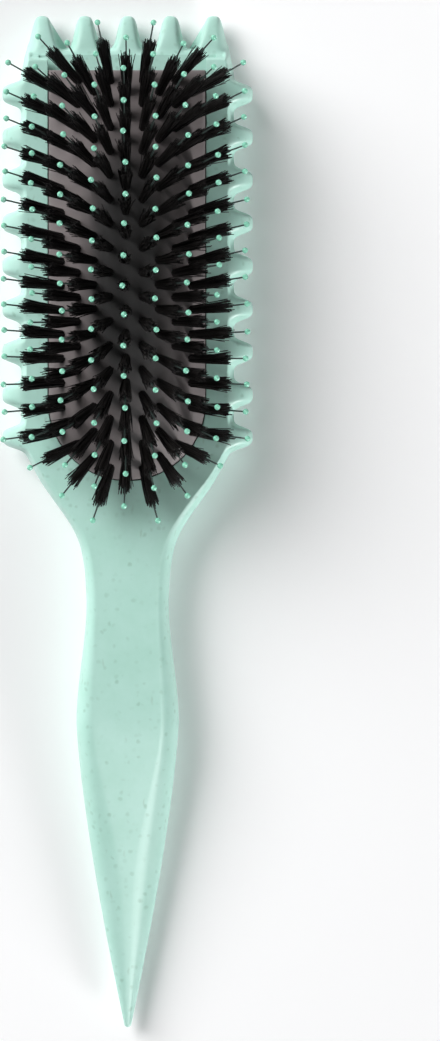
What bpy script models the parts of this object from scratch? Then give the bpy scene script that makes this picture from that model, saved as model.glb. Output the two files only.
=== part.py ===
"""A cushion styling brush with toothed edges, lying on its back.

A one-piece moulded frame carries the handle, the toothed rim and a channel with two overhanging rails.
A bristle cartridge slides along that channel and comes out at the toothed end for cleaning: a tray,
and on it a hollow rubber cushion that holds rows of bristle tufts, each with a longer ball-tipped pin.

Units are metres. +X is the brush's width, +Y runs from the tail to the toothed end, and +Z is up, the way
the bristles point. The origin is on the flat back, under the middle of the cushion.
"""

import math
import random
from collections import namedtuple

import bmesh
import bpy
from mathutils import Matrix, Vector

# Gaps between pieces: where one rests on another, where one slides past another, and between two rows.
SEAT_GAP = 0.0003
RUNNING_GAP = 0.0003
ROW_GAP = 0.0003

# Cushion, seen from the front: straight sides, a square end by the fingers, a half-round end by the neck.
CUSHION_LENGTH = 0.1004
CUSHION_WIDTH = 0.0382
CUSHION_WALL = 0.0024
CUSHION_SIDE_HEIGHT = 0.0022
CUSHION_RISE = 0.0086
CUSHION_ACROSS_POWER = 2.2
CUSHION_ALONG_POWER = 3.2
CHAMBER_POWER = 3
CUSHION_ARC_STEPS = 8
CHAMBER_ARC_STEPS = 4
ROUND_END_STEP_DEG = 14

# Points closer than this are one point.
MERGE_DISTANCE = 0.000001

# Tray that carries the cushion. Its flanges run under the frame's rails.
TRAY_THICKNESS = 0.002
TRAY_FLANGE = 0.0024
TRAY_CORNER_RADIUS = 0.002
TRAY_CORNER_SEGMENTS = 3
TRAY_PLATEAU_HEIGHT = 0.001

# Frame: thickness under the tray, rail over its flange, and the border round the cushion.
FRAME_FLOOR = 0.008
RAIL_THICKNESS = 0.0018
BORDER_WIDTH = 0.0051
BORDER_ROUNDING = 0.0017
TOP_BORDER = 0.0046
FINGER_DECK_DROP = 0.0002
BACK_FLAT_SHARE = 0.58
BACK_TOP_INSET = 0.0065
RIM_HEIGHT_SHARE = 0.5
CUT_OVERRUN = 0.012

# Teeth along the two sides and fingers along the end. Between two of them their round front sags, by a power
# on its height that grows to this value in the valley.
TOOTH_SAG = 1.5
SIDE_TEETH = 9
TOOTH_DEPTH = 0.0047
TOOTH_STEPS = 10
TOOTH_BLUNTNESS = 2.0
LAST_VALLEY_ABOVE_CUSHION_END = 0.0051
FINGERS = 5
FINGER_LENGTH = 0.0081
FINGER_BLUNTNESS = 1.9
CORNER_INSET = 0.0014
CORNER_TURN_SHARE = 0.345
CORNER_STEPS = 3
DECK_RAMP_SHARE = 0.5

# Handle: a flare from the head, a narrow neck, a belly, and a long taper to the parting tip.
FLARE_LENGTH = 0.0349
FLARE_ROUNDING_SHARE = 0.3
NECK_WIDTH = 0.0202
NECK_TO_BELLY = 0.030
BELLY_WIDTH = 0.0252
TAIL_LENGTH = 0.0755
TAIL_POWER = 1.35
TIP_WIDTH = 0.0018
HANDLE_THICKNESS = 0.013
NECK_ROUNDING = 0.0028
BELLY_ROUNDING = 0.0045
TIP_THICKNESS = 0.0022
TAIL_LIFT = 0.003
TAIL_LIFT_POWER = 2.2
TAIL_FACE_SHARE = 0.12
TAIL_FACE_FADE_SHARE = 0.25
FLARE_STEPS = 9
BELLY_STEPS = 5
TAIL_STEPS = 12
TIP_STEPS = 3
ROUNDING_STEPS = 3
SMOOTH_BELOW_DEG = 35

# How the flare narrows: (share of its length, share of its extra half width that is left).
FLARE_SHARES = (
    (0.0, 1.0), (0.05, 0.83), (0.16, 0.70), (0.275, 0.53), (0.39, 0.35),
    (0.50, 0.20), (0.61, 0.10), (0.78, 0.03), (1.0, 0.0),
)

# Tufts stand in rows across the cushion. Even columns stand in one row and odd columns in the next.
TUFT_ROWS = 33
TUFT_END_MARGIN = 0.0029
TUFT_COLUMN_PITCH = 0.00395
TUFT_OUTER_COLUMN = 4
TUFT_EDGE_MARGIN = 0.0016
TUFT_ROOT = 0.0008

# How tufts lean: across towards the sides, along towards both ends, and less along in the outer columns.
LEAN_ACROSS_DEG = 47
LEAN_NARROWING_POWER = 0.6
LEAN_ALONG_DEG = 50
LEAN_CUBIC_SHARE = 0.34
LEAN_MIDDLE_DEG = -2
LEAN_SIDE_EASING = 0.5
LEAN_SIDE_DEG = 8
LEAN_JITTER_DEG = 1.2
JITTER_SEED = 7

# Each tuft: a ball-tipped pin between two locks of bristle, which flare towards their ends.
STRAND_SIDES = 3
PIN_LENGTH = 0.019
PIN_RADIUS = 0.00036
BALL_RADIUS = 0.0009
LOCK_LENGTH = 0.0131
LOCK_BASE_RADIUS = 0.0005
LOCK_TIP_RADIUS = 0.0007
LOCK_BASE_OFFSET = 0.001
LOCK_TIP_OFFSET = 0.0012
LANDING_STEPS = 6

# Colours (linear red, green and blue) and roughness of the three materials.
MINT_COLOUR = (0.434, 0.730, 0.631)
MINT_ROUGHNESS = 0.45
TRAY_COLOUR = (0.020, 0.021, 0.022)
TRAY_ROUGHNESS = 0.5
RUBBER_COLOUR = (0.026, 0.026, 0.027)
RUBBER_ROUGHNESS = 0.75

# Heights that follow from the sizes above.
TRAY_BOTTOM = FRAME_FLOOR + RUNNING_GAP
TRAY_TOP = TRAY_BOTTOM + TRAY_THICKNESS
RAIL_BOTTOM = TRAY_TOP + RUNNING_GAP
FRAME_TOP = RAIL_BOTTOM + RAIL_THICKNESS
CUSHION_FOOT = TRAY_TOP + SEAT_GAP
CUSHION_EDGE = CUSHION_FOOT + CUSHION_SIDE_HEIGHT
DECK_TOP = FRAME_FLOOR - FINGER_DECK_DROP

# Places in plan that follow from the sizes above.
CUSHION_HALF = CUSHION_WIDTH / 2
CUSHION_END_Y = CUSHION_LENGTH / 2
ROUND_END_Y = CUSHION_HALF - CUSHION_END_Y
TRAY_HALF = CUSHION_HALF + TRAY_FLANGE
FACE_HALF = CUSHION_HALF + RUNNING_GAP + BORDER_WIDTH
VALLEY_HALF = FACE_HALF + BORDER_ROUNDING
LAST_VALLEY_Y = LAST_VALLEY_ABOVE_CUSHION_END - CUSHION_END_Y
TOOTH_PITCH = (CUSHION_END_Y - LAST_VALLEY_Y) / SIDE_TEETH
FACE_TOP_Y = CUSHION_END_Y + TOP_BORDER
FINGER_ROOT_Y = FACE_TOP_Y + BORDER_ROUNDING
CORNER_X = VALLEY_HALF - CORNER_INSET
FINGER_PITCH = CORNER_X / ((FINGERS - 1) / 2 + CORNER_TURN_SHARE)
NECK_Y = LAST_VALLEY_Y - FLARE_LENGTH
BELLY_Y = NECK_Y - NECK_TO_BELLY
TUFT_END_Y = CUSHION_END_Y - TUFT_END_MARGIN
ROW_PITCH = 2 * TUFT_END_Y / (TUFT_ROWS - 1)
SLICE_LENGTH = ROW_PITCH - ROW_GAP
SOLID_END = TUFT_END_MARGIN + SLICE_LENGTH / 2

# One station of the frame's right half: a point of its rim, the edges of its front and back faces, and the
# sag of the rounding between its rim and its front.
Station = namedtuple("Station", "rim face back rim_z face_z back_z sag")


def between(start, end, share):
    return start + (end - start) * share


def smooth(share):
    """0 to 1 with a level start and end."""
    share = min(1.0, max(0.0, share))
    return share * share * (3 - 2 * share)


def looked_up(shares, at):
    """Straight-line reading of a table of (place, value) shares."""
    for (low, first), (high, second) in zip(shares, shares[1:]):
        if at <= high:
            return between(first, second, (at - low) / (high - low))
    return shares[-1][1]


def tooth_wave(turns, bluntness):
    """1 over a tooth's blunt tip, 0 in the round valley half a turn away."""
    return (1 + math.tanh(bluntness * math.cos(math.tau * turns)) / math.tanh(bluntness)) / 2


def new_object(name, mesh, material=None, parent=None, origin=(0, 0, 0)):
    """An object from a bmesh in world places, with its origin moved to the given point."""
    data = bpy.data.meshes.new(name)
    mesh.transform(Matrix.Translation(-Vector(origin)))
    mesh.to_mesh(data)
    mesh.free()
    obj = bpy.data.objects.new(name, data)
    bpy.context.scene.collection.objects.link(obj)
    if material:
        data.materials.append(material)
    if parent:
        obj.parent = parent
        origin = Vector(origin) - parent.location
    obj.location = origin
    return obj


def new_material(name, colour, roughness):
    material = bpy.data.materials.new(name)
    material.use_nodes = True
    shader = material.node_tree.nodes["Principled BSDF"]
    shader.inputs["Base Color"].default_value = (*colour, 1)
    shader.inputs["Roughness"].default_value = roughness
    shader.inputs["Metallic"].default_value = 0
    return material


def join_or_cut(obj, helper, operation):
    """Adds or takes away a helper's shape, and keeps the helper out of the finished part."""
    helper.hide_render = True
    helper.display_type = "WIRE"
    modifier = obj.modifiers.new(helper.name, "BOOLEAN")
    modifier.operation = operation
    modifier.solver = "EXACT"
    modifier.use_self = operation == "UNION"
    modifier.object = helper


def smoothed(obj):
    obj.data.shade_smooth()
    obj.data.set_sharp_from_angle(angle=math.radians(SMOOTH_BELOW_DEG))
    return obj


def finger_stations():
    """From the middle finger's tip to the outside of the corner finger."""
    rim_z = DECK_TOP * RIM_HEIGHT_SHARE
    last = round(CORNER_X / FINGER_PITCH * TOOTH_STEPS)
    for step in range(last + 1):
        x = CORNER_X * step / last
        wave = tooth_wave(x / FINGER_PITCH, FINGER_BLUNTNESS)
        rim = (x, FINGER_ROOT_Y + FINGER_LENGTH * wave)
        face = (x * FACE_HALF / VALLEY_HALF, FACE_TOP_Y)
        back = (x * BACK_FLAT_SHARE, FACE_TOP_Y - BACK_TOP_INSET)
        yield Station(rim, face, back, rim_z, DECK_TOP, 0, TOOTH_SAG * (1 - wave))


def side_stations():
    """Down the toothed side, from the valley above the first tooth to the one below the last."""
    rim_z = FRAME_TOP * RIM_HEIGHT_SHARE
    for step in range(SIDE_TEETH * TOOTH_STEPS + 1):
        turns = step / TOOTH_STEPS
        wave = tooth_wave(turns - 1 / 2, TOOTH_BLUNTNESS)
        y = CUSHION_END_Y - turns * TOOTH_PITCH
        rim = (VALLEY_HALF + TOOTH_DEPTH * wave, y)
        back = (VALLEY_HALF * BACK_FLAT_SHARE, y)
        yield Station(rim, (FACE_HALF, y), back, rim_z, FRAME_TOP, 0, TOOTH_SAG * (1 - wave))


def corner_stations(above, below):
    """Between the corner finger and the first side tooth, where the deck climbs to the rails' height."""
    for step in range(1, CORNER_STEPS + 1):
        share = step / (CORNER_STEPS + 1)
        plan = [
            tuple(between(a, b, share) for a, b in zip(first, second))
            for first, second in zip(above[:3], below[:3])
        ]
        climb = smooth(share / DECK_RAMP_SHARE)
        rim_z = between(above.rim_z, below.rim_z, climb)
        face_z = between(above.face_z, below.face_z, climb)
        yield Station(*plan, rim_z, face_z, 0, between(above.sag, below.sag, share))


def handle_station(y, half, face_half, thickness, lift=0, sag=0):
    rim_z = lift + thickness * RIM_HEIGHT_SHARE
    back = (half * BACK_FLAT_SHARE, y)
    return Station((half, y), (face_half, y), back, rim_z, lift + thickness, lift, sag)


def flare_and_belly_stations():
    """From just below the last valley, through the neck, to the widest place of the handle."""
    neck_half, belly_half = NECK_WIDTH / 2, BELLY_WIDTH / 2
    for step in range(1, FLARE_STEPS + 1):
        share = step / FLARE_STEPS
        half = between(neck_half, VALLEY_HALF, looked_up(FLARE_SHARES, share))
        settled = smooth(share / FLARE_ROUNDING_SHARE)
        face_half = half - between(BORDER_ROUNDING, NECK_ROUNDING, settled)
        thickness = between(FRAME_TOP, HANDLE_THICKNESS, smooth(share))
        y = LAST_VALLEY_Y - share * FLARE_LENGTH
        yield handle_station(y, half, face_half, thickness, sag=TOOTH_SAG * (1 - settled))
    for step in range(1, BELLY_STEPS + 1):
        share = step / BELLY_STEPS
        half = between(neck_half, belly_half, smooth(share))
        face_half = half - between(NECK_ROUNDING, BELLY_ROUNDING, smooth(share))
        yield handle_station(NECK_Y - share * NECK_TO_BELLY, half, face_half, HANDLE_THICKNESS)


def tail_stations():
    """The long taper, whose flat front fades to a rounded ridge, and the round point at its end."""
    belly_half, tip_half = BELLY_WIDTH / 2, TIP_WIDTH / 2
    for step in range(1, TAIL_STEPS + 1):
        share = step / TAIL_STEPS
        half = between(belly_half, tip_half, share ** TAIL_POWER)
        thickness = between(HANDLE_THICKNESS, TIP_THICKNESS, share ** TAIL_POWER)
        flat = 1 - smooth(share / TAIL_FACE_FADE_SHARE)
        face_half = between(half * TAIL_FACE_SHARE, max(half - BELLY_ROUNDING, 0), flat)
        y = BELLY_Y - share * (TAIL_LENGTH - tip_half)
        last = handle_station(y, half, face_half, thickness, TAIL_LIFT * share ** TAIL_LIFT_POWER)
        yield last
    for step in range(1, TIP_STEPS + 1):
        turn = math.pi / 2 * step / TIP_STEPS
        across = math.cos(turn) if step < TIP_STEPS else 0
        reach = tip_half * math.sin(turn)
        yield last._replace(
            rim=(last.rim[0] * across, last.rim[1] - reach),
            face=(last.face[0] * across, last.face[1] - reach * TAIL_FACE_SHARE),
            back=(last.back[0] * across, last.back[1] - reach * BACK_FLAT_SHARE),
        )


def rounded(station, turn, inner, inner_z, sag=0):
    """A point of the quarter ellipse, or its sagging form, from the rim to a face's edge (a quarter turn)."""
    x = between(inner[0], station.rim[0], math.cos(turn))
    y = between(inner[1], station.rim[1], math.cos(turn))
    return Vector((x, y, between(station.rim_z, inner_z, math.sin(turn) ** (1 + sag))))


def ring_of(stations, turn, to_front):
    """The closed ring of points at this turn: the right half from end to tip, then the left half back."""
    if to_front:
        right = [rounded(s, turn, s.face, s.face_z, s.sag) for s in stations]
    else:
        right = [rounded(s, turn, s.back, s.back_z) for s in stations]
    return right + [Vector((-p.x, p.y, p.z)) for p in reversed(right[1:-1])]


def grow_ring(mesh, edges, ring, places):
    """Extrudes a closed ring of edges and moves the new ring to its places."""
    made = bmesh.ops.extrude_edge_only(mesh, edges=edges)["geom"]
    new_verts = {part for part in made if isinstance(part, bmesh.types.BMVert)}
    copies = [
        next(edge.other_vert(vert) for edge in vert.link_edges if edge.other_vert(vert) in new_verts)
        for vert in ring
    ]
    for vert, place in zip(copies, places):
        vert.co = place
    new_edges = [part for part in made if isinstance(part, bmesh.types.BMEdge)]
    return [edge for edge in new_edges if set(edge.verts) <= new_verts], copies


def close_across(mesh, ring, first_line):
    """Fills a ring with faces from its right half to its left half. Points up to first_line lie in a row."""
    count = len(ring) // 2 + 1
    left = [ring[-i] for i in range(count)]
    mesh.faces.new(ring[:first_line + 2] + left[first_line + 1:0:-1])
    for i in range(first_line + 1, count - 1):
        mesh.faces.new(dict.fromkeys((ring[i], ring[i + 1], left[i + 1], left[i])))


def frame_blank():
    """The moulded frame before its channel is cut: rings grow from its rim to its front and its back."""
    fingers = list(finger_stations())
    sides = list(side_stations())
    corner = list(corner_stations(fingers[-1], sides[0]))
    stations = fingers + corner + sides + list(flare_and_belly_stations()) + list(tail_stations())
    mesh = bmesh.new()
    rim = [mesh.verts.new(place) for place in ring_of(stations, 0, True)]
    rim_edges = [mesh.edges.new(pair) for pair in zip(rim, rim[1:] + rim[:1])]
    for to_front in (True, False):
        edges, ring = rim_edges, rim
        for step in range(1, ROUNDING_STEPS + 1):
            turn = math.pi / 2 * step / ROUNDING_STEPS
            edges, ring = grow_ring(mesh, edges, ring, ring_of(stations, turn, to_front))
        close_across(mesh, ring, len(fingers) - 1)
    bmesh.ops.recalc_face_normals(mesh, faces=mesh.faces)
    return mesh


def u_prism(half, top_y, low, high):
    """A prism on a U-shaped outline: a half round about the cushion's round end, with straight sides."""
    mesh = bmesh.new()
    steps = round(180 / ROUND_END_STEP_DEG)
    turns = [math.pi * step / steps for step in range(steps + 1)]
    points = [(half, top_y)]
    points += [(half * math.cos(turn), ROUND_END_Y - half * math.sin(turn)) for turn in turns]
    points += [(-half, top_y)]
    face = mesh.faces.new([mesh.verts.new((x, y, low)) for x, y in points])
    made = bmesh.ops.extrude_face_region(mesh, geom=[face])["geom"]
    top = [part for part in made if isinstance(part, bmesh.types.BMVert)]
    bmesh.ops.translate(mesh, verts=top, vec=(0, 0, high - low))
    bmesh.ops.recalc_face_normals(mesh, faces=mesh.faces)
    return mesh


def make_frame(material):
    """Frame and handle in one moulding, with the undercut channel that the cartridge slides in."""
    frame = smoothed(new_object("frame_handle", frame_blank(), material))
    open_end = FACE_TOP_Y + CUT_OVERRUN
    undercut = u_prism(TRAY_HALF + RUNNING_GAP, open_end, FRAME_FLOOR, RAIL_BOTTOM)
    join_or_cut(frame, new_object("channel_undercut", undercut), "DIFFERENCE")
    mouth_low = (FRAME_FLOOR + RAIL_BOTTOM) / 2
    mouth = u_prism(CUSHION_HALF + RUNNING_GAP, open_end, mouth_low, FRAME_TOP + CUT_OVERRUN)
    join_or_cut(frame, new_object("channel_mouth", mouth), "DIFFERENCE")
    return frame


def make_tray(material, parent):
    """Flat tray with a flange for the rails and a plateau that fits between the cushion's solid ends."""
    mesh = u_prism(TRAY_HALF, CUSHION_END_Y, TRAY_BOTTOM, TRAY_TOP)
    top = max(mesh.faces, key=lambda face: face.calc_center_median().z)
    far = max(vert.co.y for vert in mesh.verts)
    corners = [
        edge for edge in mesh.edges
        if all(vert.co.y == far for vert in edge.verts) and edge.verts[0].co.z != edge.verts[1].co.z
    ]
    inset = TRAY_FLANGE + SOLID_END + CUSHION_WALL
    bmesh.ops.inset_region(mesh, faces=[top], thickness=inset, use_even_offset=True)
    made = bmesh.ops.extrude_face_region(mesh, geom=[top])["geom"]
    mesh.faces.remove(top)
    raised = [part for part in made if isinstance(part, bmesh.types.BMVert)]
    bmesh.ops.translate(mesh, verts=raised, vec=(0, 0, TRAY_PLATEAU_HEIGHT))
    bmesh.ops.bevel(
        mesh, geom=corners, offset=TRAY_CORNER_RADIUS, segments=TRAY_CORNER_SEGMENTS,
        affect="EDGES", profile=0.5, material=-1,
    )
    bmesh.ops.recalc_face_normals(mesh, faces=mesh.faces)
    return smoothed(new_object("cartridge_tray", mesh, material, parent, parent.location))


def half_width(y, inset=0):
    """Half width of the cushion's outline at y, or of the same outline moved inwards by inset."""
    half = CUSHION_HALF - inset
    if y > CUSHION_END_Y - inset:
        return 0
    if y >= ROUND_END_Y:
        return half
    return math.sqrt(max(0, half ** 2 - (ROUND_END_Y - y) ** 2))


def crown_height(y):
    """Rise of the cushion's middle line above its edge."""
    return CUSHION_RISE * (1 - min(1, abs(y) / CUSHION_END_Y) ** CUSHION_ALONG_POWER)


def cushion_top(x, y):
    half = half_width(y)
    across = 1 - min(1, abs(x) / half) ** CUSHION_ACROSS_POWER if half else 0
    return CUSHION_EDGE + crown_height(y) * across


def arch_shares(steps):
    """Even places across an arch, from -1 at its left foot to 1 at its right foot."""
    return [2 * step / steps - 1 for step in range(steps + 1)]


def cushion_section(y, hollow):
    """The closed outline of the cushion cut across at y."""
    half = half_width(y)
    points = [Vector((-half, y, CUSHION_FOOT))]
    for share in arch_shares(CUSHION_ARC_STEPS):
        points.append(Vector((share * half, y, cushion_top(share * half, y))))
    points.append(Vector((half, y, CUSHION_FOOT)))
    if hollow:
        inner = half_width(y, CUSHION_WALL)
        rise = CUSHION_SIDE_HEIGHT + crown_height(y) - CUSHION_WALL
        for share in reversed(arch_shares(CHAMBER_ARC_STEPS)):
            height = rise * (1 - abs(share) ** CHAMBER_POWER)
            points.append(Vector((share * inner, y, CUSHION_FOOT + height)))
    return points


def loft(rings):
    """A closed shape through rings of points, with a face over the first and the last."""
    mesh = bmesh.new()
    made = [[mesh.verts.new(point) for point in ring] for ring in rings]
    for low, high in zip(made, made[1:]):
        for i, vert in enumerate(low):
            mesh.faces.new((low[i - 1], vert, high[i], high[i - 1]))
    mesh.faces.new(reversed(made[0]))
    mesh.faces.new(made[-1])
    bmesh.ops.remove_doubles(mesh, verts=mesh.verts, dist=MERGE_DISTANCE)
    return mesh


def slice_stations(row):
    """Places along the brush at which this row's slice of the cushion has a section."""
    middle = row_y(row)
    low = middle - SLICE_LENGTH / 2
    high = middle + SLICE_LENGTH / 2
    if row == TUFT_ROWS - 1:
        return [low, CUSHION_END_Y]
    if row > 0:
        return [low, high]
    last_turn = math.acos((ROUND_END_Y - high) / CUSHION_HALF)
    steps = math.ceil(math.degrees(last_turn) / ROUND_END_STEP_DEG)
    turns = [last_turn * step / steps for step in range(steps + 1)]
    return [ROUND_END_Y - CUSHION_HALF * math.cos(turn) for turn in turns]


def row_y(row):
    return row * ROW_PITCH - TUFT_END_Y


def tuft_places(row):
    """Where this row's tufts stand in plan, leaving out those too near the cushion's edge."""
    y = row_y(row)
    for column in range(-TUFT_OUTER_COLUMN, TUFT_OUTER_COLUMN + 1):
        x = column * TUFT_COLUMN_PITCH
        if column % 2 != row % 2 and abs(x) <= half_width(y, TUFT_EDGE_MARGIN):
            yield x, y


def lean(x, y, jitter):
    """Which way the tuft at this place points: straight up in the middle, outwards towards the edges."""
    out = x / (TUFT_OUTER_COLUMN * TUFT_COLUMN_PITCH)
    narrowing = (CUSHION_HALF / half_width(y)) ** LEAN_NARROWING_POWER
    across = LEAN_ACROSS_DEG * narrowing * out
    along = y / CUSHION_END_Y
    along = LEAN_ALONG_DEG * ((1 - LEAN_CUBIC_SHARE) * along + LEAN_CUBIC_SHARE * along ** 3)
    along = along * (1 - LEAN_SIDE_EASING * out ** 2) + LEAN_SIDE_DEG * out ** 2 + LEAN_MIDDLE_DEG
    across += jitter.uniform(-LEAN_JITTER_DEG, LEAN_JITTER_DEG)
    along += jitter.uniform(-LEAN_JITTER_DEG, LEAN_JITTER_DEG)
    return Vector((math.tan(math.radians(across)), math.tan(math.radians(along)), 1)).normalized()


def add_strand(mesh, rings, side, along):
    """A closed few-sided strand through (centre, radius) rings. A radius of zero is a point."""
    up = along.cross(side)
    last = None
    for centre, radius in rings:
        turns = [math.tau * i / STRAND_SIDES for i in range(STRAND_SIDES if radius else 1)]
        ring = [
            mesh.verts.new(centre + radius * (side * math.cos(turn) + up * math.sin(turn)))
            for turn in turns
        ]
        if last is None:
            mesh.faces.new(reversed(ring))
        else:
            for i in range(STRAND_SIDES):
                corners = (last[i - 1], last[i], ring[i % len(ring)], ring[(i - 1) % len(ring)])
                mesh.faces.new(dict.fromkeys(corners))
        last = ring
    if len(last) > 1:
        mesh.faces.new(last)


def landed(point, along):
    """Slides a point along its strand until it lies on the cushion's top, by halving what is left."""
    for _ in range(LANDING_STEPS):
        above = point.z - cushion_top(point.x, point.y)
        point = point - along * (above / along.z / 2)
    return point


def add_tuft(mesh, x, y, jitter):
    """A ball-tipped pin and a lock of bristle on either side of it, rooted in the cushion."""
    along = lean(x, y, jitter)
    side = Vector((0, 1, 0)).cross(along).normalized()
    base = Vector((x, y, cushion_top(x, y)))
    ball = base + along * (PIN_LENGTH - BALL_RADIUS)
    pin = [
        (base - along * TUFT_ROOT, PIN_RADIUS),
        (ball - along * BALL_RADIUS, PIN_RADIUS),
        (ball, BALL_RADIUS),
        (ball + along * BALL_RADIUS, 0),
    ]
    add_strand(mesh, pin, side, along)
    for way in (-1, 1):
        root = landed(base + side * way * LOCK_BASE_OFFSET, along)
        tip = base + along * LOCK_LENGTH + side * way * LOCK_TIP_OFFSET
        line = (tip - root).normalized()
        lock = [(root - line * TUFT_ROOT, LOCK_BASE_RADIUS), (tip, LOCK_TIP_RADIUS)]
        add_strand(mesh, lock, side * way, line)


def make_row(row, material, parent, jitter):
    """One slice across the cushion with its row of tufts."""
    stations = slice_stations(row)
    hollow = 0 < row < TUFT_ROWS - 1 and min(half_width(y, CUSHION_WALL) for y in stations) > 0
    origin = Vector((0, row_y(row), CUSHION_FOOT))
    mesh = loft([cushion_section(y, hollow) for y in stations])
    name = f"bristle_row_{row + 1:02d}"
    piece = new_object(name, mesh, material, parent, origin)
    strands = bmesh.new()
    for x, y in tuft_places(row):
        add_tuft(strands, x, y, jitter)
    helper = new_object(name + "_strands", strands, None, parent, origin)
    join_or_cut(piece, helper, "UNION")
    return smoothed(piece)


def main():
    for obj in list(bpy.data.objects):
        bpy.data.objects.remove(obj)
    mint = new_material("mint_plastic", MINT_COLOUR, MINT_ROUGHNESS)
    dark = new_material("dark_plastic", TRAY_COLOUR, TRAY_ROUGHNESS)
    rubber = new_material("cushion_rubber", RUBBER_COLOUR, RUBBER_ROUGHNESS)
    make_frame(mint)
    cartridge = bpy.data.objects.new("cartridge", None)
    cartridge.location = (0, 0, TRAY_BOTTOM)
    bpy.context.scene.collection.objects.link(cartridge)
    make_tray(dark, cartridge)
    jitter = random.Random(JITTER_SEED)
    for row in range(TUFT_ROWS):
        make_row(row, rubber, cartridge, jitter)


main()
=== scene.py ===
# %% [markdown]
# # A detangling and styling brush
# The brush is three things: a moulded frame with its handle, a cartridge that slides into the frame, and
# about 140 tufts that stand in the cartridge's rubber cushion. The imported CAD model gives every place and
# size. This lesson dresses it: finer surfaces, thousands of bristles, and a finish for each material.

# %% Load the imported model
import math
import random
from collections import namedtuple

import bmesh
import bpy
from mathutils import Matrix, Vector


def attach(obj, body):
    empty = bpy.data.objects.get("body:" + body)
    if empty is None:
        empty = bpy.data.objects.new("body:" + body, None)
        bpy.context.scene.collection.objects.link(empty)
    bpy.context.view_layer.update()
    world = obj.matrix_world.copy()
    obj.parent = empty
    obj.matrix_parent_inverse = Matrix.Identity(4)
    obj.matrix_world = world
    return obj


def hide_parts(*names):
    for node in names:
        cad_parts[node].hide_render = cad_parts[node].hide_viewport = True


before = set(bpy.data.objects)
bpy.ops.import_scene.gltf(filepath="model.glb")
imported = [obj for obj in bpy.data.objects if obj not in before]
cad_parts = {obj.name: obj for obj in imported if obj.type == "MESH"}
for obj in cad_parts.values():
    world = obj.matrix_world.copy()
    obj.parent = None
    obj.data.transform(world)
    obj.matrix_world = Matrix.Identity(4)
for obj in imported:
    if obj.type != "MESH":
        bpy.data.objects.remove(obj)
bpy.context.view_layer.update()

# %% [markdown]
# ## Helpers
# A mesh becomes a finished piece in one place: it gets its name, its material and the body that it moves
# with, and the CAD nodes that it replaces are hidden. Its object stays at the origin, so a pattern on Object
# coordinates keeps its real size and lies still. Colours are written as sRGB hex values and turned to the
# linear ones that a shader works in. Every node is added by one small function, which keeps the node trees
# readable.

# %% Make a finished piece
SMOOTH_BELOW_DEG = 38


def finished(name, mesh, material, body, replaced=()):
    """Makes the mesh a smooth-shaded piece that rides on its body, and hides the CAD nodes it replaces."""
    data = bpy.data.meshes.new(name)
    mesh.to_mesh(data)
    mesh.free()
    data.materials.append(material)
    data.shade_smooth()
    data.set_sharp_from_angle(angle=math.radians(SMOOTH_BELOW_DEG))
    piece = bpy.data.objects.new(name, data)
    bpy.context.scene.collection.objects.link(piece)
    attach(piece, body)
    if replaced:
        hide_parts(*replaced)
    print(name, len(data.polygons), "faces")
    return piece


# %% Colours and shader nodes
def linear(hex_colour):
    """An sRGB hex colour as the linear red, green, blue and alpha that a shader works in."""
    parts = [int(hex_colour[i:i + 2], 16) / 255 for i in (0, 2, 4)]
    return [p / 12.92 if p <= 0.04045 else ((p + 0.055) / 1.055) ** 2.4 for p in parts] + [1]


def add_node(material, kind, settings=None, links=None):
    """Adds a node, sets its properties and input values, and links other nodes' outputs into it."""
    node = material.node_tree.nodes.new(kind)
    for name, value in (settings or {}).items():
        if hasattr(node, str(name)):
            setattr(node, name, value)
        else:
            node.inputs[name].default_value = value
    for name, source in (links or {}).items():
        material.node_tree.links.new(source, node.inputs[name])
    return node


def new_material(name, **values):
    """A material with a Principled shader, whose even values are set on the shader's own sockets."""
    material = bpy.data.materials.new(name)
    material.use_nodes = True
    shader = material.node_tree.nodes["Principled BSDF"]
    for socket, value in values.items():
        shader.inputs[socket.replace("_", " ")].default_value = value
    return material, shader


print("a middle grey of 808080 is", round(linear("808080")[0], 3), "in linear light")

# %% [markdown]
# ## Moulded mint plastic
# The frame is injection-moulded polypropylene filled with ground wheat straw. The filler shows as faint
# darker specks under a satin skin. The specks could be painted on an image, but that needs an unwrapped
# surface and blurs close up, so the shader works them out. They come from Voronoi cells: each cell has one
# point, and only some of the cells draw a speck round it. A second, stretched layer gives the short straw
# fibres. A slow noise gives the cloudy flow of the filled plastic, and a very fine one the grain of the
# mould. A real mould's grain is finer than a pixel of the picture, so it is drawn as coarse as it needs to
# be to show, at a little over a quarter of a millimetre.

# %% Straw-filled polypropylene and its clouds
CLOUD_SIZE = 0.011


def per_size(size):
    """A texture's scale for a pattern that repeats about every so many metres."""
    return 1 / size


mint_plastic, shader = new_material(
    "straw_filled_polypropylene", Metallic=0.0, IOR=1.49, Specular_IOR_Level=0.5,
)
place = add_node(mint_plastic, "ShaderNodeTexCoord").outputs["Object"]
clouds = add_node(
    mint_plastic, "ShaderNodeTexNoise",
    {"Scale": per_size(CLOUD_SIZE), "Detail": 4.0, "Roughness": 0.72}, {"Vector": place},
)
print("clouds about every", CLOUD_SIZE * 1000, "mm")

# %% Specks
SPECK_SPACING = 0.0018
SPECK_CORE_SHARE = 0.15
SPECK_EDGE_SHARE = 0.39
SPECK_WOBBLE = 0.0011
SPECK_THRESHOLD = 0.45

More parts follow.
